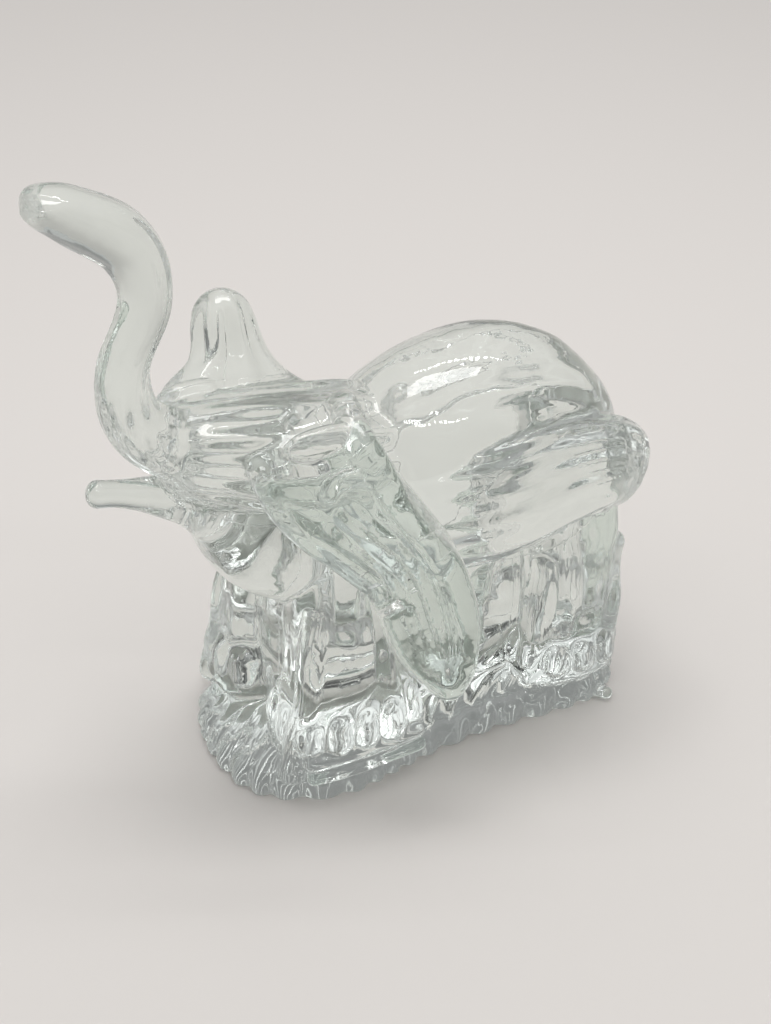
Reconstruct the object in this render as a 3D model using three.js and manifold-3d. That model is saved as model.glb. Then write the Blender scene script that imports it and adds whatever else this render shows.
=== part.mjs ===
import * as THREE from "three";
import { mergeVertices } from "three/addons/utils/BufferGeometryUtils.js";
import Module from "manifold-3d";

const wasm = await Module();
wasm.setup();

// A solid hot-worked glass elephant, in millimetres: it faces -Y, its left side is +X and it stands on z = 0.
// Every piece is a gather or bit of glass of its own, and each fused seam keeps a small clearance.
const seam = 0.3;

// Base slab with a crimped rim
const baseLength = 68;
const baseFrontWidth = 35;
const baseWaistWidth = 30;
const baseRearWidth = 32;
const baseThickness = 5;
const baseEdgeRound = 1.4;
const scallopPitch = 4.3;
const scallopDepth = 0.55;
const dripLength = 3.6;
const dripThickness = 2;

// Legs and crimped feet
const frontLegReach = 19.2;
const frontStride = 2.6;
const hindLegReach = 23;
const frontLegSpread = 19;
const hindLegSpread = 17.4;
const legWidth = 14;
const frontLegDepth = 18;
const hindLegDepth = 16;
const footWidth = 16.4;
const frontFootDepth = 22.5;
const frontFootHeight = 14;
const frontFootSetback = 2.6;
const hindFootDepth = 17;
const hindFootHeight = 11.5;
const toeCount = 12;
const toeDepth = 0.6;

// Solid web under the belly, between the legs
const bellyWidth = 16;
const bellyLength = 52;

// Trunk of the body: the domed back and the flank rolls
const bodyRise = 25;
const bodyLength = 48;
const bodyWidth = 33;
const bodyHeight = 38;
const bodySetback = 9;
const flankLength = 37;
const flankDepth = 20;
const flankSetback = 9;
const flankThickness = 12;
const tailLength = 21;
const tailThickness = 3.6;

// Head
const neckRise = 25;
const neckInset = 7;
const headLength = 34;
const headWidth = 22;
const headHeight = 18;
const jawLength = 45;
const jawWidth = 26;
const jawDepth = 25;
const lipThickness = 4.2;
const trunkReach = 19;
const trunkRise = 39;
const trunkThickness = 7.1;
const trunkTipWidth = 9;
const earLength = 34;
const earBreadth = 16;
const earThickness = 6.2;
const earFolds = 6;
const earFoldDepth = 0.5;
const crestHeight = 17.6;
const crestLength = 27;
const crestThickness = 8;

// A point given as distances forward, to the elephant's left and up.
const at = (forward, left, up) => new THREE.Vector3(left, -forward, up);

const neck = at(bodyLength / 2 - bodySetback - neckInset, 0, bodyRise + neckRise);

function solidOf(geometry) {
  const plain = geometry.clone();
  plain.deleteAttribute("normal");
  plain.deleteAttribute("uv");
  const merged = mergeVertices(plain, 1e-4);
  return new wasm.Manifold(
    new wasm.Mesh({
      numProp: 3,
      vertProperties: merged.attributes.position.array,
      triVerts: new Uint32Array(merged.index.array),
    }),
  );
}

const roundSection = (angle) => [Math.cos(angle), Math.sin(angle)];

// Squared-off section, as pressed with a paddle: the lower the power, the squarer.
const squaredSection = (power) => (angle) => {
  const squared = (value) => Math.sign(value) * Math.abs(value) ** power;
  return [squared(Math.cos(angle)), squared(Math.sin(angle))];
};

// Flat section with a thick rim round a thinner middle, crumpled into cross folds below the crown.
const crumpledSection = (angle, along) => {
  const [, v] = squaredSection(0.6)(angle);
  const thinned = 1 - 0.25 * Math.sin(angle) ** 4;
  const crumple = Math.exp(-(((along - 0.32) / 0.18) ** 2));
  const fold = Math.sin(2 * Math.PI * earFolds * along + 4 * Math.cos(angle));
  return [Math.cos(angle), v * (thinned + ((2 * earFoldDepth) / earThickness) * crumple * fold)];
};

// Squared section crimped into round toes with sharp clefts, which fade out towards the ankle.
const crimpedSection = (angle, along) => {
  const [u, v] = squaredSection(0.65)(angle);
  const toe = 2 * Math.abs(Math.cos((toeCount * angle) / 2)) - 1;
  const crimp = 1 + ((2 * toeDepth) / footWidth) * toe * (1 - along ** 2);
  return [crimp * u, crimp * v];
};

// A gather of glass: sections strung along a smooth spine, closed by a dome at each end.
// A station is [centre, width across the spine, thickness]; grow swells the whole form evenly.
function gather(stations, form = {}) {
  const { across = at(0, 1, 0), sides = 18, rings = 14, grow = 0 } = form;
  const { section = roundSection, domeRings = 4, dome = 0.8 } = form;
  const spine = new THREE.CatmullRomCurve3(stations.map(([centre]) => centre));
  const sizes = new THREE.CatmullRomCurve3(
    stations.map(([, width, thickness]) => new THREE.Vector3(width / 2, thickness / 2, 0)),
  );
  const length = spine.getLength();
  const domeLength = (size) => Math.min(dome * Math.min(size.x, size.y), length / 3);
  const startDome = domeLength(sizes.getPoint(0));
  const endDome = domeLength(sizes.getPoint(1));

  const steps = [];
  for (let i = 0; i < domeRings; i++) {
    const turn = (i / domeRings) * (Math.PI / 2);
    steps.push({ along: startDome * (1 - Math.cos(turn)), scale: Math.sin(turn) });
  }
  for (let i = 0; i <= rings; i++) {
    steps.push({ along: startDome + ((length - startDome - endDome) * i) / rings, scale: 1 });
  }
  for (let i = domeRings - 1; i >= 0; i--) {
    const turn = (i / domeRings) * (Math.PI / 2);
    steps.push({ along: length - endDome * (1 - Math.cos(turn)), scale: Math.sin(turn) });
  }

  const positions = [];
  const index = [];
  steps.forEach(({ along, scale }, i) => {
    const t = spine.getUtoTmapping(along / length);
    const centre = spine.getPoint(t);
    const tangent = spine.getTangent(t);
    const size = sizes.getPoint(t);
    const side = across.clone().addScaledVector(tangent, -across.dot(tangent)).normalize();
    const up = new THREE.Vector3().crossVectors(tangent, side);
    if (i === 0 || i === steps.length - 1) {
      const outward = i === 0 ? -grow : grow;
      positions.push(...centre.addScaledVector(tangent, outward).toArray());
      return;
    }
    for (let k = 0; k < sides; k++) {
      const [u, v] = section((k / sides) * 2 * Math.PI, along / length);
      const point = centre
        .clone()
        .addScaledVector(side, u * (size.x + grow) * scale)
        .addScaledVector(up, v * (size.y + grow) * scale);
      positions.push(...point.toArray());
    }
  });

  const ringCount = steps.length - 2;
  const lastPole = 1 + ringCount * sides;
  const vertex = (ring, k) => 1 + ring * sides + (k % sides);
  for (let k = 0; k < sides; k++) {
    index.push(0, vertex(0, k + 1), vertex(0, k));
    for (let ring = 0; ring < ringCount - 1; ring++) {
      index.push(vertex(ring, k), vertex(ring, k + 1), vertex(ring + 1, k));
      index.push(vertex(ring, k + 1), vertex(ring + 1, k + 1), vertex(ring + 1, k));
    }
    index.push(vertex(ringCount - 1, k), vertex(ringCount - 1, k + 1), lastPole);
  }
  const geometry = new THREE.BufferGeometry();
  geometry.setAttribute("position", new THREE.Float32BufferAttribute(positions, 3));
  geometry.setIndex(index);
  return solidOf(geometry);
}

// Cuts a form off level with the top of the base slab, so that it stands there flat.
function standOnBase(solid) {
  const size = 4 * baseLength;
  const below = new THREE.BoxGeometry(size, size, size);
  below.translate(0, 0, baseThickness - size / 2);
  return solid.subtract(solidOf(below));
}

function baseOutline() {
  const half = [
    [baseLength / 2, 0],
    [baseLength * 0.455, baseFrontWidth * 0.33],
    [frontLegReach, baseFrontWidth / 2],
    [frontLegReach * 0.2, baseWaistWidth * 0.52],
    [-hindLegReach * 0.35, baseWaistWidth / 2],
    [-hindLegReach, baseRearWidth / 2],
    [-baseLength * 0.44, baseRearWidth * 0.44],
    [-baseLength / 2, baseRearWidth * 0.2],
  ];
  const mirrored = half.slice(1).reverse().map(([forward, left]) => [forward, -left]);
  const points = [...half, ...mirrored].map(([forward, left]) => at(forward, left, 0));
  return new THREE.CatmullRomCurve3(points, true, "catmullrom");
}

// The crimps wander a little, as hand work does: by how many crimps, at a share of the way round.
const wander = (share) =>
  0.35 * Math.sin(10 * Math.PI * share) + 0.15 * Math.sin(18 * Math.PI * share + 2);

function makeBase() {
  const rim = baseOutline();
  const scallops = Math.round(rim.getLength() / scallopPitch);
  const pointsPerScallop = 4;
  const count = scallops * pointsPerScallop;
  const outline = [];
  for (let i = 0; i < count; i++) {
    const crimp = i / pointsPerScallop;
    const share = (1 + (crimp - wander(crimp / scallops)) / scallops) % 1;
    const point = rim.getPointAt(share);
    const tangent = rim.getTangentAt(share);
    const lobe = Math.abs(Math.cos(Math.PI * crimp));
    const swell = scallopDepth * (2 * lobe - 1) - baseEdgeRound;
    outline.push(new THREE.Vector2(point.x + tangent.y * swell, point.y - tangent.x * swell));
  }
  const slab = new THREE.ExtrudeGeometry(new THREE.Shape(outline), {
    depth: baseThickness - 2 * baseEdgeRound,
    bevelThickness: baseEdgeRound,
    bevelSize: baseEdgeRound,
    bevelSegments: 1,
    steps: 1,
  });
  slab.translate(0, 0, baseEdgeRound);
  const corner = at(-(hindLegReach + baseLength * 0.44) / 2, baseRearWidth * 0.43, dripThickness / 2);
  const drip = gather(
    [0, 0.6, 1].map((share) => [
      corner.clone().add(at(-share * share * dripLength * 0.7, share * dripLength, 0)),
      dripThickness,
      dripThickness,
    ]),
    { sides: 8, rings: 3, domeRings: 2 },
  );
  return solidOf(slab).add(drip);
}

// The front legs are set a stride apart, the right one ahead.
function legPlace(end, side) {
  return end === "front"
    ? { forward: frontLegReach - (side * frontStride) / 2, left: (side * frontLegSpread) / 2 }
    : { forward: -hindLegReach, left: (side * hindLegSpread) / 2 };
}

function makeFoot(end, side, grow = 0) {
  const { forward, left } = legPlace(end, side);
  const { depth, height, setback } =
    end === "front"
      ? { depth: frontFootDepth, height: frontFootHeight, setback: frontFootSetback }
      : { depth: hindFootDepth, height: hindFootHeight, setback: 0 };
  const station = (rise, size) => [
    at(forward - setback, left, baseThickness + rise * height),
    footWidth * size,
    depth * size,
  ];
  const stations = [
    station(-0.22, 1),
    station(0.08, 1.02),
    station(0.3, 0.97),
    station(0.6, 0.96),
    station(0.82, 0.87),
    station(1, 0.62),
  ];
  const form = { section: crimpedSection, sides: 4 * toeCount, rings: 3, domeRings: 2, grow };
  return standOnBase(gather(stations, form));
}

function makeLeg(end, side, grow = 0) {
  const { forward, left } = legPlace(end, side);
  const depth = end === "front" ? frontLegDepth : hindLegDepth;
  const ankle = baseThickness + (end === "front" ? frontFootHeight : hindFootHeight);
  const top = bodyRise + bodyHeight / 2;
  const stations = [
    [at(forward * 0.9, left * 0.8, top), legWidth, depth],
    [at(forward * 0.96, left * 0.95, bodyRise * 1.12), legWidth, depth],
    [at(forward, left, ankle), legWidth * 0.94, depth * 0.94],
    [at(forward, left, baseThickness), legWidth, depth],
  ];
  const form = { section: squaredSection(0.7), sides: 16, rings: 4, domeRings: 2, grow };
  return standOnBase(gather(stations, form));
}

function makeBelly(grow = 0) {
  const middle = (frontLegReach - hindLegReach) / 2;
  const top = bodyRise + bodyHeight * 0.35;
  const stations = [0.5, 0.3, -0.3, -0.5].map((share) => [
    at(middle + share * bellyLength, 0, top / 2),
    bellyWidth,
    top,
  ]);
  const form = { section: squaredSection(0.55), sides: 16, rings: 4, dome: 0.35, domeRings: 3, grow };
  return standOnBase(gather(stations, form));
}

function makeBody(grow = 0) {
  const middle = bodyRise + bodyHeight / 2;
  const station = (share, up, width, height) => [
    at(-bodySetback + share * bodyLength, 0, middle + up * bodyHeight),
    bodyWidth * width,
    bodyHeight * height,
  ];
  const stations = [
    station(0.5, 0.026, 0.62, 0.55),
    station(0.22, 0.013, 0.93, 0.9),
    station(-0.08, 0.013, 1, 1),
    station(-0.3, -0.08, 0.88, 0.79),
    station(-0.5, -0.21, 0.55, 0.44),
  ];
  return gather(stations, { grow, sides: 20, rings: 12, domeRings: 3 });
}

function makeFlank(side, grow = 0) {
  const middle = bodyRise + bodyHeight * 0.5;
  const station = (share, sunk, up, thick, deep) => [
    at(
      share * flankLength - flankSetback,
      side * (bodyWidth / 2 - sunk * flankThickness),
      middle + up * flankDepth,
    ),
    flankThickness * thick,
    flankDepth * deep,
  ];
  const stations = [
    station(0.42, 0.25, 0, 0.9, 0.85),
    station(0.15, 0.17, 0.04, 1, 0.95),
    station(-0.2, 0.17, 0.13, 1, 0.8),
    station(-0.48, 0.33, 0.08, 0.85, 0.55),
    station(-0.63, 0.46, -0.075, 0.75, 0.48),
  ];
  return gather(stations, { across: at(0, 1, 0.35 * side), sides: 14, rings: 10, domeRings: 3, grow });
}

function makeTail(grow = 0) {
  const rump = at(-bodySetback - bodyLength * 0.5, 0, bodyRise + bodyHeight * 0.55);
  const station = (back, down, thick) => [
    rump.clone().add(at(-back * tailLength, 0, -down * tailLength)),
    tailThickness * thick,
    tailThickness * thick,
  ];
  const stations = [
    station(-0.24, -0.1, 1.1),
    station(-0.05, 0.05, 1.1),
    station(0.05, 0.4, 0.9),
    station(0, 0.8, 0.85),
    station(0.015, 1, 1),
  ];
  return gather(stations, { grow, sides: 10, rings: 10, domeRings: 3 });
}

function makeHead(grow = 0) {
  const station = (share, up, width, height) => [
    neck.clone().add(at(share * headLength, 0, up * headLength)),
    headWidth * width,
    headHeight * height,
  ];
  const stations = [
    station(-0.25, -0.06, 0.9, 0.9),
    station(0.05, 0, 1, 1),
    station(0.4, 0.1, 0.92, 0.94),
    station(0.68, 0.19, 0.72, 0.8),
    station(0.9, 0.25, 0.55, 0.62),
  ];
  return gather(stations, { grow, sides: 18, rings: 11, domeRings: 3 });
}

function makeJaw(grow = 0) {
  const station = (share, up, width, depth) => [
    neck.clone().add(at(share * jawLength, 0, up * jawDepth)),
    width,
    depth,
  ];
  const stations = [
    station(-0.13, -0.42, jawWidth * 0.9, jawDepth * 0.95),
    station(0.12, -0.44, jawWidth, jawDepth),
    station(0.35, -0.33, jawWidth * 0.82, jawDepth * 0.84),
    station(0.54, -0.1, jawWidth * 0.38, jawDepth * 0.37),
    station(0.67, 0.025, lipThickness * 1.4, lipThickness * 1.4),
    station(0.79, 0.11, lipThickness * 0.95, lipThickness * 0.95),
    station(0.9, 0.16, lipThickness, lipThickness),
  ];
  return gather(stations, { grow, sides: 14, rings: 11, domeRings: 3 });
}

function makeTrunk(grow = 0) {
  const root = neck.clone().add(at(0.72 * headLength, 0, 0.22 * headLength));
  const station = (reach, rise, width, thick) => [
    root.clone().add(at(reach * trunkReach, 0, rise * trunkRise)),
    width,
    thick,
  ];
  const stations = [
    station(-0.15, 0, trunkThickness * 1.8, trunkThickness * 1.7),
    station(0.2, 0.04, trunkThickness * 1.6, trunkThickness * 1.45),
    station(0.45, 0.16, trunkThickness * 1.25, trunkThickness * 1.2),
    station(0.47, 0.36, trunkThickness, trunkThickness),
    station(0.27, 0.6, trunkThickness, trunkThickness),
    station(0.36, 0.8, trunkThickness * 1.2, trunkThickness * 1.15),
    station(0.72, 0.94, trunkTipWidth, trunkThickness * 1.05),
    station(1, 1, trunkTipWidth * 0.9, trunkThickness * 0.5),
  ];
  return gather(stations, { grow, sides: 16, rings: 19, domeRings: 3 });
}

// The left ear is a thick strip laid over the crown that droops outwards down the side of the head.
function makeLeftEar(grow = 0) {
  const crown = neck.clone().add(at(0.2 * headLength, 0, headHeight / 2));
  const station = (forward, left, drop, breadth, thick) => [
    crown.clone().add(at(forward * earLength, left * earLength, -drop * earLength)),
    earBreadth * breadth,
    earThickness * thick,
  ];
  const stations = [
    station(0.06, 0.06, -0.06, 0.8, 0.7),
    station(0.15, 0.29, 0.03, 1.12, 0.9),
    station(0.07, 0.4, 0.22, 1.05, 1),
    station(-0.03, 0.456, 0.38, 0.93, 1),
    station(-0.118, 0.515, 0.51, 0.83, 1),
    station(-0.15, 0.574, 0.63, 0.83, 1),
    station(-0.2, 0.65, 0.82, 0.84, 1),
    station(-0.232, 0.69, 0.98, 0.68, 0.95),
    station(-0.225, 0.71, 1.07, 0.45, 0.8),
  ];
  const across = at(-1, 0.2, 0.1);
  return gather(stations, { across, section: crumpledSection, sides: 16, rings: 21, domeRings: 3, grow });
}

// The right ear is pulled up and out into a blunt crest.
function makeRightEar(grow = 0) {
  const root = neck.clone().add(at(0.38 * headLength, -0.16 * headWidth, 0.22 * headHeight));
  const station = (forward, out, rise, long, thick) => [
    root.clone().add(at(forward * crestLength, -out * crestHeight, rise * crestHeight)),
    crestLength * long,
    crestThickness * thick,
  ];
  const stations = [
    station(0.093, 0, 0, 1, 1),
    station(0.11, 0.2, 0.26, 0.9, 1),
    station(0.08, 0.42, 0.52, 0.46, 0.95),
    station(0.07, 0.58, 0.8, 0.34, 0.95),
    station(0.07, 0.66, 1.02, 0.24, 0.8),
  ];
  return gather(stations, { across: at(1, 0, 0.12), sides: 16, grow });
}

// The pieces in the order in which they take their room: each one gives way to those before it.
const corners = ["front", "hind"].flatMap((end) => [
  { end, side: 1, name: `${end}_left` },
  { end, side: -1, name: `${end}_right` },
]);
const pieces = [
  { name: "body", form: makeBody },
  { name: "left_flank", form: (grow) => makeFlank(1, grow) },
  { name: "right_flank", form: (grow) => makeFlank(-1, grow) },
  ...corners.map(({ end, side, name }) => ({
    name: `${name}_foot`,
    form: (grow) => makeFoot(end, side, grow),
  })),
  ...corners.map(({ end, side, name }) => ({
    name: `${name}_leg`,
    form: (grow) => makeLeg(end, side, grow),
  })),
  { name: "head", form: makeHead },
  { name: "lower_jaw", form: makeJaw },
  { name: "belly", form: makeBelly },
  { name: "tail", form: makeTail },
  { name: "trunk", form: makeTrunk },
  { name: "left_ear", form: makeLeftEar },
  { name: "right_ear", form: makeRightEar },
];

// What shows of a form outside its neighbours. A tip that comes out on their far side melts into them.
function carve(form, neighbours) {
  const shown = neighbours.reduce((solid, neighbour) => solid.subtract(neighbour), form(0));
  return shown.decompose().sort((a, b) => b.volume() - a.volume())[0];
}

function meshOf(name, solid) {
  const { vertProperties, triVerts } = solid.getMesh();
  const geometry = new THREE.BufferGeometry();
  geometry.setAttribute("position", new THREE.BufferAttribute(vertProperties, 3));
  geometry.setIndex(new THREE.BufferAttribute(triVerts, 1));
  geometry.computeVertexNormals();
  const glass = new THREE.MeshStandardMaterial({
    color: 0xdfe8e3,
    roughness: 0.04,
    metalness: 0,
    transparent: true,
    opacity: 0.35,
  });
  const mesh = new THREE.Mesh(geometry, glass);
  mesh.name = name;
  return mesh;
}

const elephant = new THREE.Group();
elephant.add(meshOf("base", makeBase()));
const placed = [];
pieces.forEach(({ name, form }) => {
  elephant.add(meshOf(name, carve(form, placed)));
  placed.push(form(seam));
});

export default elephant;
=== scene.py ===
import math

import bmesh
import bpy
from mathutils import Matrix, Vector, noise


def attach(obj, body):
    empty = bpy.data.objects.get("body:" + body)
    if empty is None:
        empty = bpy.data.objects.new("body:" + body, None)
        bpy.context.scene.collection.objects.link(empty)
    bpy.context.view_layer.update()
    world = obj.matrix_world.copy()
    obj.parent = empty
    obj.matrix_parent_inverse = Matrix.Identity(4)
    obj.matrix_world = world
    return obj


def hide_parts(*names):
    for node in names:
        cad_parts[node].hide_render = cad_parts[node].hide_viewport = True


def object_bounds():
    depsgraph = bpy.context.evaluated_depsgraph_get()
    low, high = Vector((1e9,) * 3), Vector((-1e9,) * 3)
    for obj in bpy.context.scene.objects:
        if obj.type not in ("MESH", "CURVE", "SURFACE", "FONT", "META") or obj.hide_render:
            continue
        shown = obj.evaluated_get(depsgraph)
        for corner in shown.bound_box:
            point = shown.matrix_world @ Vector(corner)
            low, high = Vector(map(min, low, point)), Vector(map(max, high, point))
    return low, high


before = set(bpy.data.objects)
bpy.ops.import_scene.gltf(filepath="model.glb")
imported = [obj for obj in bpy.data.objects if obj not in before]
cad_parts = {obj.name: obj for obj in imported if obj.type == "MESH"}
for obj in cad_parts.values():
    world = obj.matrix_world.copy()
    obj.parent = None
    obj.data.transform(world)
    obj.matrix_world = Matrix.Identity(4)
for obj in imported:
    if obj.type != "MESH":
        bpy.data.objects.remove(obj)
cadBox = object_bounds()
print("frame loaded:", len(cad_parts), "bits of glass")

mm = 0.001  # the glass is shaped in millimetres and scaled down when it is finished


def spot(forward, left, up):  # the elephant faces -Y and its left side is +X
    return Vector((left, -forward, up))


# Lofting: a bit of hot glass is a row of rings on a bent spine, rounded off at both ends

def dieOut(share):  # marks in the glass die out towards both ends of a bit
    return min(1, 5 * share * (1 - share))


def profile(square=0.0, flutes=0, fluteDepth=0.0, ridges=0, ridgeDepth=0.0, drift=0.0, uneven=0.0):
    def section(angle, share):
        c, s = math.cos(angle), math.sin(angle)
        around = flutes * angle + uneven * math.sin(2 * angle + 1)
        flute = 1 + dieOut(share) * fluteDepth * math.cos(around + drift * share)
        ridge = 1 + dieOut(share) * ridgeDepth * math.cos(ridges * math.pi * c + drift * share)
        wide = max(abs(c), 0.001) ** -square * flute
        thick = max(abs(s), 0.001) ** -square * flute * ridge
        return wide, thick
    return section


def between(rings, share):  # smooth run through the rings, share goes from 0 to 1
    place = share * (len(rings) - 1)
    i = min(int(place), len(rings) - 2)
    u = place - i
    a, b = rings[max(i - 1, 0)], rings[i]
    c, d = rings[i + 1], rings[min(i + 2, len(rings) - 1)]
    bend = (2 * a - 5 * b + 4 * c - d) * u**2 + (3 * b - 3 * c + d - a) * u**3
    return 0.5 * (2 * b + (c - a) * u + bend)


def ringShape(bm, place, halfWidth, halfThick, section, share, sides):
    verts = bmesh.ops.create_circle(bm, segments=sides, radius=1.0)["verts"]
    for v in verts:
        wide, thick = section(math.atan2(v.co.y, v.co.x), share)
        v.co = Vector((v.co.x * wide * halfWidth, v.co.y * thick * halfThick, 0))
    bmesh.ops.transform(bm, matrix=place, verts=verts)
    return list({e for v in verts for e in v.link_edges})


def skinLoops(bm, loops):  # a wall from loop to loop and a cap at each end
    for first, second in zip(loops, loops[1:]):
        bmesh.ops.bridge_loops(bm, edges=first + second)
    bmesh.ops.edgeloop_fill(bm, edges=loops[0])
    bmesh.ops.edgeloop_fill(bm, edges=loops[-1])
    bmesh.ops.recalc_face_normals(bm, faces=bm.faces)
    return bm


def loft(bit, grow=0.0):
    rings = [Vector((*centre, width, thickness)) for centre, width, thickness in bit["rings"]]
    across = bit.get("across", spot(0, 1, 0))
    section = bit.get("section", profile())
    sides, count = bit.get("sides", 72), bit.get("count", 80)
    shares = [(1 - math.cos(math.pi * k / count)) / 2 for k in range(count + 1)]
    path = [between(rings, share) for share in shares]
    centres = [Vector(ring[:3]) for ring in path]
    runs = [0.0]
    for a, b in zip(centres, centres[1:]):
        runs.append(runs[-1] + (b - a).length)
    bm = bmesh.new()
    loops = []
    for k in range(count + 1):
        width, thickness = path[k][3], path[k][4]
        tangent = (centres[min(k + 1, count)] - centres[max(k - 1, 0)]).normalized()
        side = (across - tangent * across.dot(tangent)).normalized()
        place = Matrix((side, tangent.cross(side), tangent)).transposed().to_4x4()
        place.translation = centres[k] + tangent * grow * {0: -1, count: 1}.get(k, 0)
        domeLength = bit.get("dome", 0.8) * min(width, thickness) / 2
        inset = min(1, min(runs[k], runs[-1] - runs[k]) / domeLength)
        full = max(0.03, math.sqrt(1 - (1 - inset) ** 2))
        halfWidth, halfThick = (width / 2 + grow) * full, (thickness / 2 + grow) * full
        loops.append(ringShape(bm, place, halfWidth, halfThick, section, runs[k] / runs[-1], sides))
    return skinLoops(bm, loops)


def rope(points, thickness):  # a thin roll of glass that follows some points
    sizes = [thickness] * len(points)
    return dict(rings=list(zip(points, sizes, sizes)), sides=20, count=10 * len(points))


# Base slab: a cushion with a lobed rim and a drip at its near rear corner

baseGlass = dict(
    length=68, frontWidth=35, waistWidth=30, rearWidth=32, thickness=5, frontReach=19.2, rearReach=23,
    lobePitch=4.3, lobeDepth=0.6,
    wander=[(0.35, 10, 0), (0.15, 18, 2)],  # how far, how often and from where the lobes stray
    layers=[(-0.3, 0.6, 0.6), (0.1, 0.2, 1), (0.32, 0, 1), (0.58, 0.3, 0.75),  # level, inset, lobes
            (0.8, 1.1, 0.4), (0.94, 2.4, 0.15), (1, 5, 0)],
    dripLength=3.6, dripThickness=2.1, dripBend=0.7,
    cutAbove=1.15)  # the slab is cut from the legs at this share of its thickness


def baseRim(d):
    half = [
        (d["length"] / 2, 0), (d["length"] * 0.455, d["frontWidth"] * 0.33),
        (d["frontReach"], d["frontWidth"] / 2), (d["frontReach"] * 0.2, d["waistWidth"] * 0.52),
        (-d["rearReach"] * 0.35, d["waistWidth"] / 2), (-d["rearReach"], d["rearWidth"] / 2),
        (-d["length"] * 0.44, d["rearWidth"] * 0.44), (-d["length"] / 2, d["rearWidth"] * 0.2)]
    points = half + [(forward, -left) for forward, left in reversed(half[1:])]
    return [spot(forward, left, 0) for forward, left in points]


def baseOutline(d):  # points on the smooth rim with the way out and the swell of the lobe there
    corners = baseRim(d)
    n, perSpan = len(corners), 40
    points = []
    for k in range(n * perSpan):
        i, u = divmod(k, perSpan)
        a, b, c, e = (corners[(i + j) % n] for j in (-1, 0, 1, 2))
        points.append(between([a, b, c, e], (1 + u / perSpan) / 3))
    steps = [(b - a) for a, b in zip(points, points[1:] + points[:1])]
    total = sum(step.length for step in steps)
    lobes = round(total / d["lobePitch"])
    rows, run = [], 0.0
    for point, step in zip(points, steps):
        out = Vector((step.y, -step.x, 0)).normalized()
        share = run / total
        stray = sum(far * math.sin(often * math.pi * share + start) for far, often, start in d["wander"])
        lobe = abs(math.cos(math.pi * (lobes * share + stray)))
        rows.append((point, out, d["lobeDepth"] * (2 * lobe - 1)))
        run += step.length
    return rows


def makeBase(d):
    bm = bmesh.new()
    rows, loops = baseOutline(d), []
    for level, inset, lobed in d["layers"]:
        up = Vector((0, 0, level * d["thickness"]))
        verts = [bm.verts.new(point + out * (swell * lobed - inset) + up) for point, out, swell in rows]
        loops.append([bm.edges.new(pair) for pair in zip(verts, verts[1:] + verts[:1])])
    return skinLoops(bm, loops)


def makeDrip(d):
    back = (d["rearReach"] + d["length"] * 0.44) / 2
    corner = spot(-back, d["rearWidth"] * 0.43, d["dripThickness"] / 2)
    steps = [corner + spot(-d["dripBend"] * s * s * d["dripLength"], s * d["dripLength"], 0)
             for s in (0, 0.6, 1)]
    return loft(rope(steps, d["dripThickness"]))


def baseBlock(d):  # a wide block that takes the slab out of the fused skin
    bm = bmesh.new()
    bmesh.ops.create_cube(bm, size=1.0)
    wide, high = 4 * d["length"], 2 * d["cutAbove"] * d["thickness"]
    bmesh.ops.scale(bm, vec=(wide, wide, high), verts=bm.verts)
    return bm


# Legs, feet and the web between them

legGlass = dict(
    frontReach=19.2, frontStride=2.6, frontSpread=19, hindReach=23, hindSpread=17.4,
    width=14, frontDepth=18, hindDepth=16, sole=5,
    section=dict(square=0.14, flutes=9, fluteDepth=0.015, drift=2),
    fold=4, foldOut=0.7, waver=0.9, waverPitch=0.12,
    frontRings=[(0.85, 0.6, 46, 0.7, 0.3), (0.9, 0.84, 33, 0.78, 0.32),  # forward, left, z, size, splay
                (0.94, 0.98, 20, 0.86, 0.39), (1, 1, 3, 1, 0.46)],
    hindRings=[(0.98, 0.84, 44, 0.96, 0.36), (1.02, 0.95, 30, 1, 0.38),
               (1.01, 1, 18, 0.92, 0.4), (1, 1, 3, 1, 0.4)])
footGlass = dict(
    width=16.4, frontDepth=22.5, hindDepth=17, frontHeight=14, hindHeight=11.5,
    frontSetback=2.6, hindSetback=0, square=0.35,
    rings=[(-0.22, 1, 1.08), (0.06, 1.03, 1.12), (0.25, 0.97, 1.02),  # up, wide, deep
           (0.55, 0.94, 0.93), (0.8, 0.86, 0.82), (1.02, 0.6, 0.6)],
    toe=4.4, toeInset=1.5, toeVary=0.2,
    toeRings=[(0.2, 1, 1), (0.45, 1, 1.05), (0.72, 0.9, 0.9)],  # up, out, wide
    bar=2.4, barLevels=[(0.02, 0.5), (0.2, 0.47)],
    barBow=[(-0.44, 0.94), (-0.15, 1), (0.2, 1), (0.44, 0.92)])
bellyGlass = dict(
    width=16, length=52, height=38.3, dome=0.35, stations=(0.5, 0.3, -0.3, -0.5),
    section=dict(square=0.45, flutes=14, fluteDepth=0.02, drift=9))


def legPlace(end, side):
    d = legGlass
    if end == "front":
        return d["frontReach"] - side * d["frontStride"] / 2, side * d["frontSpread"] / 2
    return -d["hindReach"], side * d["hindSpread"] / 2


def legBits(end, side):
    d = legGlass
    forward, left = legPlace(end, side)
    width, depth = d["width"], d[end + "Depth"]
    stations = d[end + "Rings"]
    rings = [(spot(forward * a, left * b, z), width * size, depth * size)
             for a, b, z, size, splay in stations]
    folds = []
    for way in (1, -1):  # a roll of glass down each outer corner
        points = []
        for a, b, z, size, splay in stations:
            out = side * d["foldOut"] * splay * width
            points.append(spot(forward * a + way * splay * depth * size, left * b + out, z))
        path = [between(points[1:], k / 8) for k in range(9)]
        wavering = []
        for point in path:
            near = d["waverPitch"] * point
            wavering.append(point + d["waver"] * spot(noise.noise(near), noise.noise(near + points[0]), 0))
        folds.append(rope(wavering, d["fold"]))
    return [dict(rings=rings, section=profile(**d["section"]))] + folds


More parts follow.
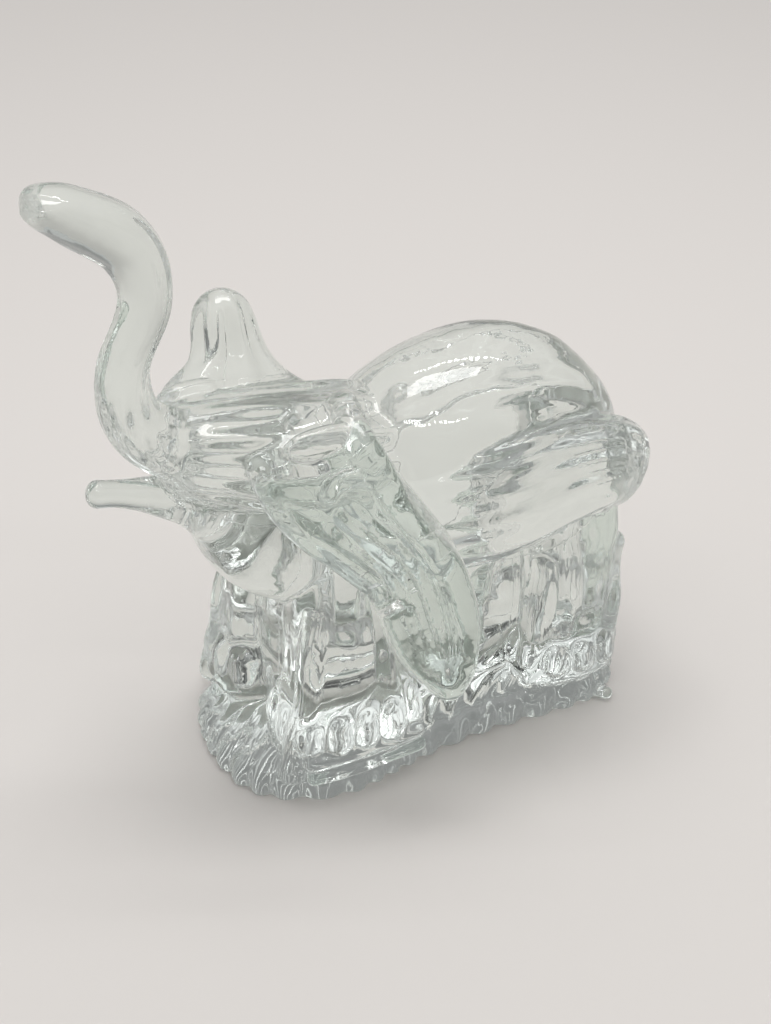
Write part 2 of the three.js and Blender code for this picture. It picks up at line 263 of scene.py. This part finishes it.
def aroundFoot(halfWidth, halfDepth, square, step):  # places a step apart round the sole
    turn = [2 * math.pi * k / 720 for k in range(721)]
    points = []
    for angle in turn:
        c, s = math.cos(angle), math.sin(angle)
        points.append(Vector((halfWidth * math.copysign(abs(c) ** (1 - square), c),
                              halfDepth * math.copysign(abs(s) ** (1 - square), s), 0)))
    total = sum((b - a).length for a, b in zip(points, points[1:]))
    step = total / round(total / step)
    chosen, run = [], 0.0
    for a, b in zip(points, points[1:]):
        run += (b - a).length
        if run >= step:
            chosen.append(b)
            run -= step
    return chosen


def footBits(end, side):
    d, sole = footGlass, legGlass["sole"]
    forward, left = legPlace(end, side)
    forward -= d[end + "Setback"]
    width, depth, height = d["width"], d[end + "Depth"], d[end + "Height"]
    rings = [(spot(forward, left, sole + up * height), width * wide, depth * deep)
             for up, wide, deep in d["rings"]]
    bits = [dict(rings=rings, section=profile(square=d["square"]))]
    foot = spot(forward, left, sole)
    toes = aroundFoot(width / 2 - d["toeInset"], depth / 2 - d["toeInset"], d["square"], d["toe"])
    for k, place in enumerate(toes):  # each toe is a little different
        size = d["toe"] * (1 + d["toeVary"] * noise.noise(Vector((3.7 * k, left, forward))))
        pillar = [(foot + out * place + spot(0, 0, up * height), size * wide, size)
                  for up, out, wide in d["toeRings"]]
        bits.append(dict(rings=pillar, sides=14, count=12, dome=1.0))
    if end == "front":
        for level, out in d["barLevels"]:
            points = [spot(forward + share * depth, left + side * width * out * bow, sole + level * height)
                      for share, bow in d["barBow"]]
            bits.append(rope(points, d["bar"]))
    return bits


def bellyBits():
    d = bellyGlass
    middle = (legGlass["frontReach"] - legGlass["hindReach"]) / 2
    rings = [(spot(middle + share * d["length"], 0, d["height"] / 2), d["width"], d["height"])
             for share in d["stations"]]
    return [dict(rings=rings, section=profile(**d["section"]), dome=d["dome"])]


# Body, flank rolls and tail

bodyGlass = dict(
    middle=spot(-9, 0, 44), length=48, width=33, height=38,
    groove=0.014, grooveAt=0.6, grooveWidth=0.1,
    rings=[(0.5, 0.026, 0.62, 0.55), (0.22, 0.013, 0.93, 0.9), (-0.08, 0.013, 1, 1),
           (-0.3, -0.08, 0.88, 0.79), (-0.5, -0.21, 0.55, 0.44)])
flankGlass = dict(
    setback=9, length=37, depth=20, thickness=12, up=44, out=16.5, lean=0.35,
    section=dict(ridges=2, ridgeDepth=0.03, flutes=13, fluteDepth=0.03, drift=2.2, uneven=2.2),
    rim=3.6, rimOut=0.26, rimDown=0.39, rimProud=0.2,
    rings=[(0.64, 0.95, -0.04, 0.85, 0.7), (0.36, 0.52, 0, 0.95, 0.9),  # forward, sunk, up, thick, deep
           (0.1, 0.24, 0.05, 1, 0.95), (-0.2, 0.17, 0.14, 1, 0.84),
           (-0.46, 0.32, 0.03, 0.9, 0.72), (-0.62, 0.46, -0.19, 0.8, 0.66)])
tailGlass = dict(
    rump=spot(-33, 0, 45.9), length=21, thickness=3.6,
    rings=[(-0.24, -0.1, 1.1), (-0.05, 0.05, 1.1), (0.05, 0.4, 0.9), (0, 0.8, 0.85), (0.015, 1, 1)])


def bodyBits():
    d = bodyGlass

    def grooved(angle, share):
        off = (abs(math.cos(angle)) - d["grooveAt"]) / d["grooveWidth"]
        dip = 1 - d["groove"] * math.exp(-off ** 2)
        return dip, dip

    rings = [(d["middle"] + spot(share * d["length"], 0, up * d["height"]),
              width * d["width"], high * d["height"]) for share, up, width, high in d["rings"]]
    return [dict(rings=rings, section=grooved, sides=96, count=96)]


def flankBits(side):
    d = flankGlass
    across = spot(0, 1, d["lean"] * side).normalized()
    rings, rim = [], []
    for share, sunk, up, thick, deep in d["rings"]:
        out = side * (d["out"] - sunk * d["thickness"])
        centre = spot(share * d["length"] - d["setback"], out, d["up"] + up * d["depth"])
        rings.append((centre, thick * d["thickness"], deep * d["depth"]))
        inset = spot(0, -d["rimProud"] * side, d["rimDown"] * deep * d["depth"])
        rim.append(centre + side * across * d["rimOut"] * thick * d["thickness"] - inset)
    core = dict(rings=rings, across=across, section=profile(**d["section"]))
    return [core, rope(rim[:-1], d["rim"])]


def tailBits():
    d = tailGlass
    rings = [(d["rump"] + spot(-back * d["length"], 0, -down * d["length"]),
              thick * d["thickness"], thick * d["thickness"]) for back, down, thick in d["rings"]]
    return [dict(rings=rings, sides=20)]


# Head, jaw, trunk and ears

headGlass = dict(
    neck=spot(8, 0, 50), length=34, width=22, height=18,
    section=dict(square=0.12, flutes=13, fluteDepth=0.045, drift=3, uneven=1.5),
    rings=[(-0.25, -0.06, 0.9, 0.9), (0.05, 0, 1, 1), (0.4, 0.1, 0.92, 0.94),
           (0.68, 0.19, 0.72, 0.8), (0.9, 0.25, 0.55, 0.62)])
jawGlass = dict(
    length=45, width=26, depth=25, lip=4.2,
    chin=[(-0.13, -0.42, 0.9, 0.95), (0.12, -0.44, 1, 1), (0.35, -0.33, 0.82, 0.84),
          (0.54, -0.1, 0.38, 0.37)],
    lower=[(0.67, 0.025, 1.4), (0.79, 0.11, 0.95), (0.9, 0.16, 1)])
trunkGlass = dict(
    root=0.72, rootUp=0.22, reach=19, rise=39, thickness=7.1,
    rings=[(-0.15, 0, 1.8, 1.7), (0.2, 0.04, 1.6, 1.45), (0.45, 0.16, 1.25, 1.2), (0.47, 0.36, 1, 1),
           (0.27, 0.6, 1, 1), (0.36, 0.8, 1.2, 1.15), (0.72, 0.94, 1.27, 1.05), (1, 1, 1.14, 0.5)],
    lines=(-2.1, -1.3, -0.7, -0.1, 0.5, 1.2, 2.3), lineDepth=0.09, lineWidth=0.2, twist=1.1,
    lip=dict(thickness=1.9, inset=4.2, length=3.2, width=3.1, proud=0.9, sweep=110))
leftEarGlass = dict(
    crown=0.2, length=34, breadth=16, thickness=6.2, across=spot(-1, 0.2, 0.1), out=spot(0.1, 0.9, 0.4),
    rings=[(0.06, 0.06, -0.06, 0.8, 0.7), (0.15, 0.3, 0.03, 1.12, 0.9), (0.07, 0.43, 0.21, 1.07, 1),
           (-0.045, 0.505, 0.36, 0.97, 1), (-0.145, 0.565, 0.495, 0.89, 1),
           (-0.185, 0.615, 0.62, 0.87, 1), (-0.225, 0.655, 0.82, 0.82, 1),
           (-0.255, 0.69, 0.98, 0.6, 0.95), (-0.265, 0.71, 1.07, 0.33, 0.8)],
    body=0.5, square=0.4, streakFrom=0.3, streakRun=0.2, streaks=[(0.05, 9.5, 3), (0.06, 24, -4)],
    folds=6, foldDepth=0.06, foldAt=0.36, foldReach=0.12, foldSlant=4,
    rim=4.4, rimProud=0.2, frontRim=2.6, frontProud=0.1, inner=2.4, innerProud=0.3,
    arch=[(1.85, -0.25), (1.6, 0), (1.5, 0.3), (1.6, 0.58), (1.9, 0.74), (2.5, 0.72), (3.2, 0.66),
          (4, 0.6), (5, 0.56), (6, 0.54), (7, 0.42), (7.5, 0.05), (7.2, -0.4), (6.2, -0.5), (5.2, -0.5)],
    bead=dict(middle=spot(18.2, 11, 60.2), length=12.5, height=4.2, thickness=3))
rightEarGlass = dict(
    root=(0.38, -0.16, 0.22), height=17.6, length=27, thickness=8, lean=0.12,
    section=dict(ridges=3, ridgeDepth=0.12, drift=2.5),
    rings=[(0.093, 0, 0, 1, 1), (0.11, 0.2, 0.26, 0.9, 1), (0.08, 0.42, 0.52, 0.46, 0.95),
           (0.07, 0.58, 0.8, 0.34, 0.95), (0.07, 0.66, 1.02, 0.24, 0.8)],
    wing=[(0.25, 0.05, 0.42, 0.2), (0.42, 0.05, 0.48, 0.17), (0.57, 0.04, 0.5, 0.07)], wingFlat=0.8)


def headBits():
    d = headGlass
    rings = [(d["neck"] + spot(share * d["length"], 0, up * d["length"]),
              width * d["width"], high * d["height"]) for share, up, width, high in d["rings"]]
    return [dict(rings=rings, section=profile(**d["section"]))]


def jawBits():
    d, neck = jawGlass, headGlass["neck"]
    rings = [(neck + spot(share * d["length"], 0, up * d["depth"]), width * d["width"], deep * d["depth"])
             for share, up, width, deep in d["chin"]]
    rings += [(neck + spot(share * d["length"], 0, up * d["depth"]), thick * d["lip"], thick * d["lip"])
              for share, up, thick in d["lower"]]
    return [dict(rings=rings)]


def trunkBits():
    d, long = trunkGlass, headGlass["length"]
    root = headGlass["neck"] + spot(d["root"] * long, 0, d["rootUp"] * long)
    rings = [(root + spot(reach * d["reach"], 0, rise * d["rise"]),
              wide * d["thickness"], thick * d["thickness"]) for reach, rise, wide, thick in d["rings"]]

    def drawnLines(angle, share):
        turn = angle - d["twist"] * (share - 0.5)
        dips = [math.exp(-(2 * math.sin((turn - line) / 2) / d["lineWidth"]) ** 2) for line in d["lines"]]
        groove = 1 - d["lineDepth"] * dieOut(share) * sum(dips)
        return groove, groove

    tip, lip = rings[-1][0], d["lip"]  # the lip is a roll round the end of the trunk
    along = (tip - rings[-2][0]).normalized()
    middle = tip - lip["inset"] * along + lip["proud"] * along.cross(spot(0, -1, 0))
    edge = []
    for angle in range(-lip["sweep"], lip["sweep"] + 1, 20):
        t = math.radians(angle)
        sideways = lip["width"] * math.sin(t) * spot(0, 1, 0)
        edge.append(middle + lip["length"] * math.cos(t) * along + sideways)
    return [dict(rings=rings, section=drawnLines, sides=96, count=120), rope(edge, lip["thickness"])]


def beadBit(d, out):  # an almond-shaped swelling
    rings = []
    for share in (-0.5, -0.3, 0, 0.3, 0.5):
        swell = max(0.2, math.sqrt(1 - (2 * share) ** 2))
        centre = d["middle"] + spot(share * d["length"], 0, 0)
        rings.append((centre, d["height"] * swell, d["thickness"] * swell))
    return dict(rings=rings, across=spot(1, 0, 0).cross(out), sides=32, count=32)


def leftEarBits():
    d = leftEarGlass
    crown = headGlass["neck"] + spot(d["crown"] * headGlass["length"], 0, headGlass["height"] / 2)
    across, out = d["across"].normalized(), d["out"].normalized()

    def crumpled(angle, share):  # lengthwise streaks below the crown, and a few crossways folds
        c, s = math.cos(angle), max(abs(math.sin(angle)), 0.001)
        fade = min(1, max(0, (share - d["streakFrom"]) / d["streakRun"]))
        streaks = sum(depth * math.cos(pitch * c + drift * share) for depth, pitch, drift in d["streaks"])
        crumple = d["foldDepth"] * math.exp(-((share - d["foldAt"]) / d["foldReach"]) ** 2)
        folds = crumple * math.sin(2 * math.pi * d["folds"] * share + d["foldSlant"] * c)
        return 1.0, s ** -d["square"] * (d["body"] + fade * streaks + folds)

    rings = [(crown + spot(forward * d["length"], left * d["length"], -drop * d["length"]),
              broad * d["breadth"], thick * d["thickness"])
             for forward, left, drop, broad, thick in d["rings"]]

    def edge(way, inset, proud, chosen):
        return [centre + way * across * (width / 2 - inset) + out * proud * thick
                for centre, width, thick in chosen]

    rim = edge(1, d["rim"] / 2, d["rimProud"], rings)
    rim += edge(-1, d["rim"] / 2, d["rimProud"], rings[:4:-1])
    frontRim = edge(-1, d["frontRim"] / 2, d["frontProud"], rings[1:6])
    leaf = [Vector((*centre, width, thick)) for centre, width, thick in rings]
    inner = []
    for row, sideways in d["arch"]:  # a fold that arches over the leaf and follows its rim
        x, y, z, width, thick = between(leaf, row / (len(leaf) - 1))
        inner.append(Vector((x, y, z)) + across * sideways * width / 2 + out * d["innerProud"] * thick)
    return [dict(rings=rings, across=across, section=crumpled, sides=120, count=110),
            rope(rim, d["rim"]), rope(frontRim, d["frontRim"]), rope(inner, d["inner"]),
            beadBit(d["bead"], out)]


def rightEarBits():
    d, h = rightEarGlass, headGlass
    forward, left, up = d["root"]
    root = h["neck"] + spot(forward * h["length"], left * h["width"], up * h["height"])

    def place(forward, out, rise):
        return root + spot(forward * d["length"], -out * d["height"], rise * d["height"])

    rings = [(place(forward, out, rise), long * d["length"], thick * d["thickness"])
             for forward, out, rise, long, thick in d["rings"]]
    wing = [(place(forward, out, rise), size * d["length"] * d["wingFlat"], size * d["length"])
            for forward, out, rise, size in d["wing"]]
    core = dict(rings=rings, across=spot(1, 0, d["lean"]), section=profile(**d["section"]), sides=96)
    return [core, dict(rings=wing, sides=24)]


sideNames = {1: "_left", -1: "_right"}
corners = [(end, side, end + sideNames[side]) for end in ("front", "hind") for side in (1, -1)]
bits = {"body": bodyBits(), "left_flank": flankBits(1), "right_flank": flankBits(-1)}
for end, side, corner in corners:
    bits[corner + "_foot"] = footBits(end, side)
for end, side, corner in corners:
    bits[corner + "_leg"] = legBits(end, side)
bits.update(head=headBits(), lower_jaw=jawBits(), belly=bellyBits(), tail=tailBits(), trunk=trunkBits(),
            left_ear=leftEarBits(), right_ear=rightEarBits())


# Fusing: the bits melt into one skin, which is then cut apart again into its bits

fuse = dict(
    voxel=0.35, polish=5, polishFactor=0.5, ripples=[(8, 0.22), (3.6, 0.07)], boxMargin=0.01,
    overlap=1.4, wideOverlap={"belly": 3.4}, cutVoxel=0.7, cutPolish=2)


def meshFrom(name, bm):
    mesh = bpy.data.meshes.new(name)
    bm.to_mesh(mesh)
    bm.free()
    return mesh


def evaluated(obj):
    graph = bpy.context.evaluated_depsgraph_get()
    return bpy.data.meshes.new_from_object(obj.evaluated_get(graph), depsgraph=graph)


def bench(name, mesh):  # a passing object to run modifiers on
    obj = bpy.data.objects.new(name, mesh)
    bpy.context.scene.collection.objects.link(obj)
    return obj


def clearBench(obj):
    mesh = obj.data
    bpy.data.objects.remove(obj)
    bpy.data.meshes.remove(mesh)


def joinShapes(shapes):
    joined = bmesh.new()
    for bm in shapes:
        part = meshFrom("bit", bm)
        joined.from_mesh(part)
        bpy.data.meshes.remove(part)
    return joined


def melt(shapes, voxel, polishing):
    obj = bench("melt", meshFrom("melt", joinShapes(shapes)))
    remesh = obj.modifiers.new("melt", "REMESH")
    remesh.mode = "VOXEL"
    remesh.voxel_size = voxel
    polish = obj.modifiers.new("polish", "SMOOTH")
    polish.factor = fuse["polishFactor"]
    polish.iterations = polishing
    mesh = evaluated(obj)
    clearBench(obj)
    return mesh


def islandsOf(bm):
    unseen, groups = set(bm.verts), []
    while unseen:
        start = unseen.pop()
        group, front = [start], [start]
        while front:
            v = front.pop()
            for e in v.link_edges:
                other = e.other_vert(v)
                if other in unseen:
                    unseen.discard(other)
                    group.append(other)
                    front.append(other)
        groups.append(group)
    return sorted(groups, key=len)


def finishSkin(mesh):  # ripples of the cooling glass, the ground underside, no loose specks
    bm = bmesh.new()
    bm.from_mesh(mesh)
    bpy.data.meshes.remove(mesh)
    for group in islandsOf(bm)[:-1]:
        bmesh.ops.delete(bm, geom=group, context="VERTS")
    moves = []
    for v in bm.verts:
        moves.append(v.normal * sum(depth * noise.noise(v.co / size) for size, depth in fuse["ripples"]))
    for v, move in zip(bm.verts, moves):
        v.co += move
    everything = bm.verts[:] + bm.edges[:] + bm.faces[:]
    cut = bmesh.ops.bisect_plane(
        bm, geom=everything, plane_co=(0, 0, 0), plane_no=(0, 0, 1), clear_inner=True)
    rim = [e for e in cut["geom_cut"] if isinstance(e, bmesh.types.BMEdge)]
    bmesh.ops.holes_fill(bm, edges=rim, sides=0)
    low, high = (Vector(corner) / mm for corner in cadBox)
    for axis in range(3):  # pressed back inside the size of the solids
        least = min(v.co[axis] for v in bm.verts)
        most = max(v.co[axis] for v in bm.verts)
        goalLow, goalHigh = max(least, low[axis]), min(most, high[axis] - fuse["boxMargin"])
        scale = (goalHigh - goalLow) / (most - least)
        for v in bm.verts:
            v.co[axis] = goalLow + (v.co[axis] - least) * scale
    bmesh.ops.recalc_face_normals(bm, faces=bm.faces)
    return meshFrom("fused", bm)


shapes = [loft(bit) for group in bits.values() for bit in group]
shapes += [makeBase(baseGlass), makeDrip(baseGlass)]
print("shaped:", len(shapes), "gathers")
fused = finishSkin(melt(shapes, fuse["voxel"], fuse["polish"]))
print("fused:", len(fused.vertices), "verts", len(fused.polygons), "faces")


def cutter(name, slots):
    if name == "base":
        mesh = meshFrom(name, baseBlock(baseGlass))
    else:
        overlap = fuse["wideOverlap"].get(name, fuse["overlap"])
        mesh = melt([loft(bit, overlap) for bit in bits[name]], fuse["cutVoxel"], fuse["cutPolish"])
    for material in slots:
        mesh.materials.append(material)
    for face in mesh.polygons:
        face.material_index = 1
    return bench(name + "Cutter", mesh)


def boolean(mesh, tool, operation):
    obj = bench("whole", mesh)
    step = obj.modifiers.new("cut", "BOOLEAN")
    step.object = tool
    step.operation = operation
    step.solver = "MANIFOLD"
    made = evaluated(obj)
    bpy.data.objects.remove(obj)
    return made


# Glass finishes

glassLook = dict(
    tint=(0.875, 0.925, 0.895), ior=1.5, haze=0.015, smudgeSize=11, smudgeFrom=0.45, smudgeTo=0.75)
broadWaves, pressMarks = dict(size=9, depth=0.1), dict(size=5, depth=0.07)
drawnMarks = dict(
    drawn=dict(along=spot(0.1, 0, 1), pitch=1.6, length=14, depth=0.07),
    pulled=dict(along=spot(1, 0, 0.3), pitch=1.6, length=14, depth=0.05),
    folded=dict(along=spot(-0.37, 0.35, -0.86), pitch=2.2, length=16, depth=0.03))
finishOf = dict(trunk="drawn", right_ear="drawn", left_ear="folded", lower_jaw="pulled", tail="drawn")


def glassFinish(name, d, waves, lines=None):
    material = bpy.data.materials.new(name)
    material.use_nodes = True
    nodes, links = material.node_tree.nodes, material.node_tree.links
    shader = nodes["Principled BSDF"]
    shader.inputs["Base Color"].default_value = (*d["tint"], 1)
    shader.inputs["Transmission Weight"].default_value = 1.0
    shader.inputs["IOR"].default_value = d["ior"]
    coords = nodes.new("ShaderNodeTexCoord")

    def cloud(size, detail, along=None, length=1.0):
        texture = nodes.new("ShaderNodeTexNoise")
        texture.inputs["Scale"].default_value = 1.0
        texture.inputs["Detail"].default_value = detail
        mapping = nodes.new("ShaderNodeMapping")
        mapping.vector_type = "TEXTURE"
        mapping.inputs["Scale"].default_value = (size * mm, size * mm, size * length * mm)
        if along:
            mapping.inputs["Rotation"].default_value = along.to_track_quat("Z", "Y").to_euler()
        links.new(coords.outputs["Object"], mapping.inputs["Vector"])
        links.new(mapping.outputs["Vector"], texture.inputs["Vector"])
        return texture.outputs["Fac"]

    def relief(height, depth, under=None):
        bump = nodes.new("ShaderNodeBump")
        bump.inputs["Distance"].default_value = depth * mm
        links.new(height, bump.inputs["Height"])
        if under:
            links.new(under, bump.inputs["Normal"])
        return bump.outputs["Normal"]

    normal = relief(cloud(waves["size"], 2.0), waves["depth"])
    if lines:
        marks = cloud(lines["pitch"], 1.0, lines["along"], lines["length"])
        normal = relief(marks, lines["depth"], normal)
    links.new(normal, shader.inputs["Normal"])
    smudge = nodes.new("ShaderNodeMapRange")
    smudge.inputs["From Min"].default_value = d["smudgeFrom"]
    smudge.inputs["From Max"].default_value = d["smudgeTo"]
    smudge.inputs["To Max"].default_value = d["haze"]
    links.new(cloud(d["smudgeSize"], 4.0), smudge.inputs["Value"])
    links.new(smudge.outputs["Result"], shader.inputs["Roughness"])
    return material


def fusedJoint():  # where two bits have melted together nothing shows
    material = bpy.data.materials.new("fusedJoint")
    material.use_nodes = True
    nodes, links = material.node_tree.nodes, material.node_tree.links
    nodes.remove(nodes["Principled BSDF"])
    clear = nodes.new("ShaderNodeBsdfTransparent")
    links.new(clear.outputs["BSDF"], nodes["Material Output"].inputs["Surface"])
    return material


finishes = dict(
    clear=glassFinish("clearGlass", glassLook, broadWaves),
    pressed=glassFinish("pressedGlass", glassLook, pressMarks))
for name, lines in drawnMarks.items():
    finishes[name] = glassFinish(name + "Glass", glassLook, broadWaves, lines)


def finishFor(name):
    return finishes["pressed" if name.endswith("_foot") else finishOf.get(name, "clear")]


def takePiece(name, mesh):
    mesh.transform(Matrix.Scale(mm, 4))
    mesh.name = name
    mesh.materials[0] = finishFor(name)
    obj = bpy.data.objects.new(name + "_glass", mesh)
    bpy.context.scene.collection.objects.link(obj)
    for face in mesh.polygons:
        face.use_smooth = True
    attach(obj, "root")
    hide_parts(name)
    print("piece:", name, len(mesh.polygons), "faces")


slots = [finishes["clear"], fusedJoint()]
fused.materials.clear()
for material in slots:
    fused.materials.append(material)
rest = fused
order = ["base"] + list(bits)
for name in order[:-1]:  # each bit is taken out in turn and the last one is what is left
    tool = cutter(name, slots)
    piece = boolean(rest, tool, "INTERSECT")
    left = boolean(rest, tool, "DIFFERENCE")
    clearBench(tool)
    bpy.data.meshes.remove(rest)
    rest = left
    takePiece(name, piece)
takePiece(order[-1], rest)


# Floor, light and camera

studio = dict(
    floorColor=(0.602, 0.574, 0.55), floorRoughness=0.8, floorSize=20.0, gap=0.05,
    wall=0.27, roof=1.15, roofFrom=0.2, roofTo=0.9,
    opening=(0.89, -0.45, 0.3), dark=0.3, wide=0.58, narrow=0.92,
    horizon=0.46, horizonFrom=0.04, horizonTo=0.08)
lampRows = dict(
    count=16, gap=0.02, size=0.011, power=0.008, along=(0.45, 0.89, 0),
    rows=[(-0.12, 0.08, 0.42), (0.2, -0.1, 0.4)])
panel = dict(place=(-0.05, 0.02, 0.5), length=0.3, width=0.12, power=0.9, turn=63.5)
view = dict(place=(0.1737, -0.0905, 0.1765), turn=26.5, tilt=35.69, lens=56.25)


def layFloor(d):
    bm = bmesh.new()
    bmesh.ops.create_grid(bm, x_segments=8, y_segments=8, size=d["floorSize"])
    bmesh.ops.translate(bm, vec=(0, 0, -d["gap"] * mm), verts=bm.verts)
    floor = bpy.data.objects.new("floor", meshFrom("floor", bm))
    bpy.context.scene.collection.objects.link(floor)
    paint = bpy.data.materials.new("floorPaint")
    paint.use_nodes = True
    shader = paint.node_tree.nodes["Principled BSDF"]
    shader.inputs["Base Color"].default_value = (*d["floorColor"], 1)
    shader.inputs["Roughness"].default_value = d["floorRoughness"]
    floor.data.materials.append(paint)


def spreadNode(nodes, low, high, start, end):
    node = nodes.new("ShaderNodeMapRange")
    node.interpolation_type = "SMOOTHSTEP"
    for socket, value in (("From Min", low), ("From Max", high), ("To Min", start), ("To Max", end)):
        node.inputs[socket].default_value = value
    return node


def lightBox(d):  # grey walls and a bright roof, a dim opening on the viewer's side, a pale horizon
    world = bpy.data.worlds.new("lightBox")
    bpy.context.scene.world = world
    world.use_nodes = True
    nodes, links = world.node_tree.nodes, world.node_tree.links
    coords = nodes.new("ShaderNodeTexCoord")
    height = nodes.new("ShaderNodeSeparateXYZ")
    links.new(coords.outputs["Generated"], height.inputs["Vector"])
    roof = spreadNode(nodes, d["roofFrom"], d["roofTo"], d["wall"], d["roof"])
    links.new(height.outputs["Z"], roof.inputs["Value"])
    facing = nodes.new("ShaderNodeVectorMath")
    facing.operation = "DOT_PRODUCT"
    facing.inputs[1].default_value = Vector(d["opening"]).normalized()
    links.new(coords.outputs["Generated"], facing.inputs[0])
    dim = spreadNode(nodes, d["wide"], d["narrow"], 1.0, d["dark"])
    links.new(facing.outputs["Value"], dim.inputs["Value"])
    level = nodes.new("ShaderNodeMath")
    level.operation = "MULTIPLY"
    links.new(roof.outputs["Result"], level.inputs[0])
    links.new(dim.outputs["Result"], level.inputs[1])
    horizon = spreadNode(nodes, d["horizonFrom"], d["horizonTo"], d["horizon"], 0.0)
    links.new(height.outputs["Z"], horizon.inputs["Value"])
    paler = nodes.new("ShaderNodeMath")
    paler.operation = "MAXIMUM"
    links.new(level.outputs["Value"], paler.inputs[0])
    links.new(horizon.outputs["Result"], paler.inputs[1])
    links.new(paler.outputs["Value"], nodes["Background"].inputs["Strength"])
    nodes["Background"].inputs["Color"].default_value = (1, 1, 1, 1)


def areaLamp(name, power, place):
    light = bpy.data.lights.new(name, "AREA")
    light.energy = power
    lamp = bpy.data.objects.new(name, light)
    lamp.location = place
    lamp.visible_camera = False
    bpy.context.scene.collection.objects.link(lamp)
    return lamp


def lampRow(d, middle):  # a strip of small lamps, which shows as a row of dots in the glass
    for k in range(d["count"]):
        along = Vector(d["along"]) * d["gap"] * (k - (d["count"] - 1) / 2)
        lamp = areaLamp("rowLamp", d["power"], Vector(middle) + along)
        lamp.data.size = d["size"]
        lamp.rotation_euler = (-lamp.location).to_track_quat("-Z", "Y").to_euler()


def softPanel(d):
    lamp = areaLamp("panel", d["power"], d["place"])
    lamp.data.shape = "RECTANGLE"
    lamp.data.size, lamp.data.size_y = d["length"], d["width"]
    lamp.rotation_euler = (0, 0, math.radians(d["turn"]))


def setCamera(d):
    camera = bpy.data.objects.new("camera", bpy.data.cameras.new("camera"))
    bpy.context.scene.collection.objects.link(camera)
    camera.location = d["place"]
    tilt, turn = math.radians(d["tilt"]), math.radians(d["turn"])
    look = Vector((-math.cos(turn) * math.cos(tilt), math.sin(turn) * math.cos(tilt), -math.sin(tilt)))
    camera.rotation_euler = look.to_track_quat("-Z", "Y").to_euler()
    camera.data.lens = d["lens"]
    camera.data.clip_start = 0.01
    bpy.context.scene.camera = camera


layFloor(studio)
lightBox(studio)
for middle in lampRows["rows"]:
    lampRow(lampRows, middle)
softPanel(panel)
setCamera(view)
print("studio ready")

scene = bpy.context.scene
scene.view_settings.view_transform = "Standard"
scene.cycles.max_bounces = 128  # light crosses many walls of glass before it leaves
scene.cycles.transmission_bounces = 128
scene.cycles.glossy_bounces = 128
scene.cycles.transparent_max_bounces = 256
